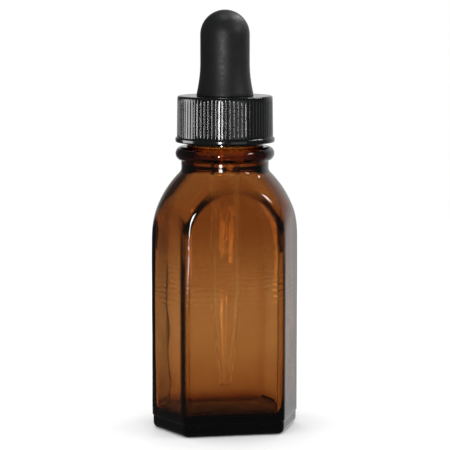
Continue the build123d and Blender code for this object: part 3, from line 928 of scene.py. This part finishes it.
floor_finish, tree, shader, output, place = new_finish("pale_floor")
shader.inputs["Base Color"].default_value = (0.9, 0.9, 0.9, 1.0)
shader.inputs["Roughness"].default_value = 0.6
shader.inputs["Specular IOR Level"].default_value = 0.1
glow = add(tree, "ShaderNodeEmission", {"Color": WHITE, "Strength": 1.0})
far = add(tree, "ShaderNodeVectorMath", {0: place}, operation="LENGTH").outputs["Value"]
fade_sockets = {"Value": far, "From Min": GLOW_START, "From Max": GLOW_FULL}
fade = add(tree, "ShaderNodeMapRange", fade_sockets, interpolation_type="SMOOTHSTEP")
blend = add(tree, "ShaderNodeMixShader", {0: fade.outputs[0], 1: shader.outputs[0], 2: glow.outputs[0]})
tree.links.new(blend.outputs[0], output.inputs["Surface"])
floor_mesh.materials.append(floor_finish)
print("floor radius", FLOOR_RADIUS, "m")

# %% World
ROOM, FLOOR_LIGHT, DIM_FRONT, BRIGHT_BACK = 1.0, 1.45, 0.08, 0.72
BACK_DIRECTION, BACK_START, BACK_FULL = (0.5, 0.866, 0.0), 0.6, 0.93
world = bpy.data.worlds.new("white_room")
bpy.context.scene.world = world
world.use_nodes = True
tree = world.node_tree
tree.nodes.clear()
kind = tree.nodes.new("ShaderNodeLightPath").outputs
bounced = maths(tree, "MINIMUM", kind["Glossy Depth"], 1.0)
sharp = maths(tree, "SUBTRACT", 1.0, kind["Is Diffuse Ray"])
mirrored = maths(tree, "MULTIPLY", bounced, sharp)
direction = tree.nodes.new("ShaderNodeTexCoord").outputs["Generated"]
compared = {0: direction, 1: BACK_DIRECTION}
back_share = add(tree, "ShaderNodeVectorMath", compared, operation="DOT_PRODUCT").outputs["Value"]
behind = between(tree, back_share, DIM_FRONT, BRIGHT_BACK, BACK_START, BACK_FULL)
direct = number_mix(tree, kind["Is Diffuse Ray"], ROOM, FLOOR_LIGHT)
level = number_mix(tree, mirrored, direct, behind)
backdrop = add(tree, "ShaderNodeBackground", {"Color": WHITE, "Strength": level})
add(tree, "ShaderNodeOutputWorld", {"Surface": backdrop.outputs[0]})
print("room", ROOM, "front", DIM_FRONT, "back", BRIGHT_BACK)

# %% [markdown]
# ## Camera
# A long lens from the front, turned ten degrees to the left and a little above, looks at the middle
# of the bottle.


# %% Camera
def direction_from(azimuth, elevation):
    """Unit vector from the object towards a place round it: azimuth 0 is in front, at -Y, and grows
    to the right."""
    a, e = math.radians(azimuth), math.radians(elevation)
    return Vector((math.sin(a) * math.cos(e), -math.cos(a) * math.cos(e), math.sin(e)))


CAMERA_AZIMUTH, CAMERA_ELEVATION, CAMERA_DISTANCE = -10.0, 7.0, 0.4419
AIM_BELOW_MIDDLE, LENS, SENSOR = 0.0012, 152.0, 36.0
aim = Vector((0, 0, (cad_low.z + cad_high.z) / 2 - AIM_BELOW_MIDDLE))
camera_data = bpy.data.cameras.new("camera")
camera_data.lens = LENS
camera_data.sensor_width = SENSOR
camera = bpy.data.objects.new("camera", camera_data)
bpy.context.collection.objects.link(camera)
toward = direction_from(CAMERA_AZIMUTH, CAMERA_ELEVATION)
camera.location = aim + toward * CAMERA_DISTANCE
camera.rotation_euler = (-toward).to_track_quat("-Z", "Y").to_euler()
camera_data.clip_start = 0.01
camera_data.clip_end = 20.0
bpy.context.scene.camera = camera
print("camera at", [round(value, 4) for value in camera.location])

# %% [markdown]
# ## Lights
# Eight area lights shape the reflections. A tall narrow strip left of the camera draws the thin
# white line down the glass and the bulb, and a brighter strip beside it draws the one down the cap.
# Two broad cards, a bright one at the left and a faint one at the right, light the cap's ribs. Two
# small high windows, one at the right and one behind the right, are there for short highlights on
# the shoulder and the ring below the cap. A small light overhead gives the tops a sheen, and a card
# that shows only through glass makes the pipette glow. Light linking keeps the cap's three lights
# off the other pieces, and keeps the left strip and the right window off the cap. It does what
# small screens between a light and a piece do in a studio. No light shows directly to the camera,
# and none lights a matte surface.


# %% Softboxes
def softbox(
    name,
    azimuth,
    width,
    bottom,
    top,
    radiance,
    distance=0.45,
    mirrored=True,
    through_glass=False,
):
    """An upright area light that faces the axis, between two heights, with its width in degrees as
    seen from the axis. Its power is its radiance times pi times its area."""
    data = bpy.data.lights.new(name, "AREA")
    across = 2 * distance * math.tan(math.radians(width) / 2)
    data.shape, data.size, data.size_y = "RECTANGLE", across, top - bottom
    data.energy = radiance * math.pi * across * (top - bottom)
    light = bpy.data.objects.new(name, data)
    bpy.context.collection.objects.link(light)
    side = direction_from(azimuth, 0.0)
    light.location = side * distance + Vector((0, 0, (top + bottom) / 2))
    light.rotation_euler = (-side).to_track_quat("-Z", "Y").to_euler()
    light.visible_camera = False
    light.visible_diffuse = False
    light.visible_glossy = mirrored
    light.visible_transmission = through_glass
    print(name, "power", round(data.energy, 2), "W")
    return light


def only_on(light, *pieces):
    """Light linking: the light falls on these pieces and on nothing else."""
    receivers = bpy.data.collections.new(light.name + "_receivers")
    for piece in pieces:
        receivers.objects.link(piece)
    light.light_linking.receiver_collection = receivers


smooth_pieces = (bottle, pipette, bulb)
strip_left = softbox("strip_left", -21.5, 7.0, -0.016, 0.15, 30.0, through_glass=True)
only_on(strip_left, *smooth_pieces)
softbox("card_for_pipette", 36.0, 34.0, -0.07, 0.15, 16.0, mirrored=False, through_glass=True)
only_on(softbox("window_right", 58.0, 15.0, 0.28, 0.36, 17.0), *smooth_pieces)
only_on(softbox("strip_for_cap", -21.0, 6.0, -0.05, 0.09, 55.0), cap)
softbox("window_behind_right", 119.0, 14.0, 0.28, 0.50, 20.0, distance=0.25)
only_on(softbox("card_left", -106.0, 34.0, -0.05, 0.09, 7.0), cap)
only_on(softbox("card_right", 22.0, 36.0, -0.05, 0.09, 0.8), cap)
OVERHEAD_PLACE = (-0.02, 0.03, 0.55)
overhead = softbox("overhead", 0.0, 10.0, 0.0, 0.07, 20.0, distance=0.4)
overhead.location = OVERHEAD_PLACE
overhead.rotation_euler = (0, 0, 0)

# %% [markdown]
# ## Rendering choices
# Light crosses eight glass surfaces on its way through the bottle and the pipette, so the paths
# have to be long. The plain view transform keeps the white room white.

# %% Light paths and view
scene = bpy.context.scene
scene.cycles.max_bounces = 24
scene.cycles.transmission_bounces = 20
scene.cycles.glossy_bounces = 8
scene.view_settings.view_transform = "Standard"
print("bounces", scene.cycles.max_bounces)
